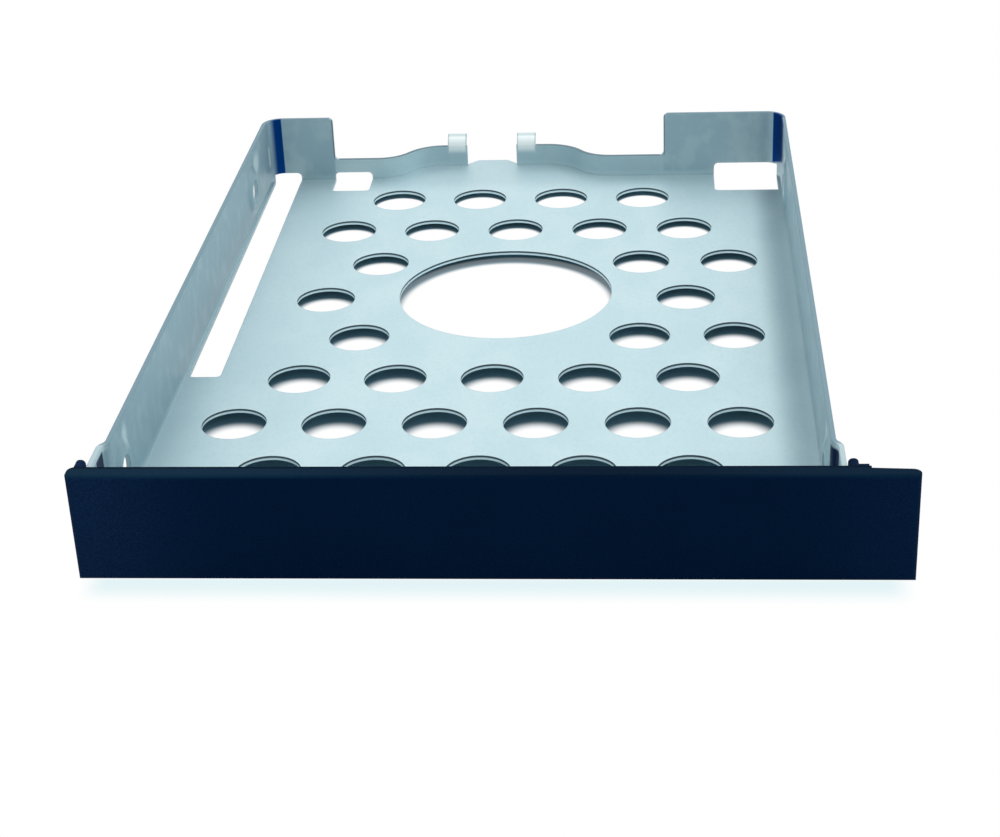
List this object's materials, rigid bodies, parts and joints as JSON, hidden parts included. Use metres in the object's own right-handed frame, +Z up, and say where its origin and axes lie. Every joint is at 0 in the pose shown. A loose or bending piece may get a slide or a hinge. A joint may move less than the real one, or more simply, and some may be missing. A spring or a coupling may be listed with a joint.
{
  "type": "laptop hard drive caddy",
  "caption": "Shallow perforated sheet-steel tray with dished side screw seats, rear hooks and a clipped-on plastic bezel, which carries a 2.5-inch drive into a laptop's bay.",
  "frame": {"origin": "middle of the bottom of the whole part's bounding box", "axes": "+Z up out of the tray, +Y along the tray from the bezel to the connector end, +X to the bezel's overhang"},
  "size_m": [0.0808, 0.1098, 0.0115],
  "materials": {
    "tray": "satin zinc-coated sheet",
    "bezel": "fine satin black"
  },
  "bodies": {
    "root": {"tray": "tray", "bezel": "bezel"}
  },
  "joints": []
}
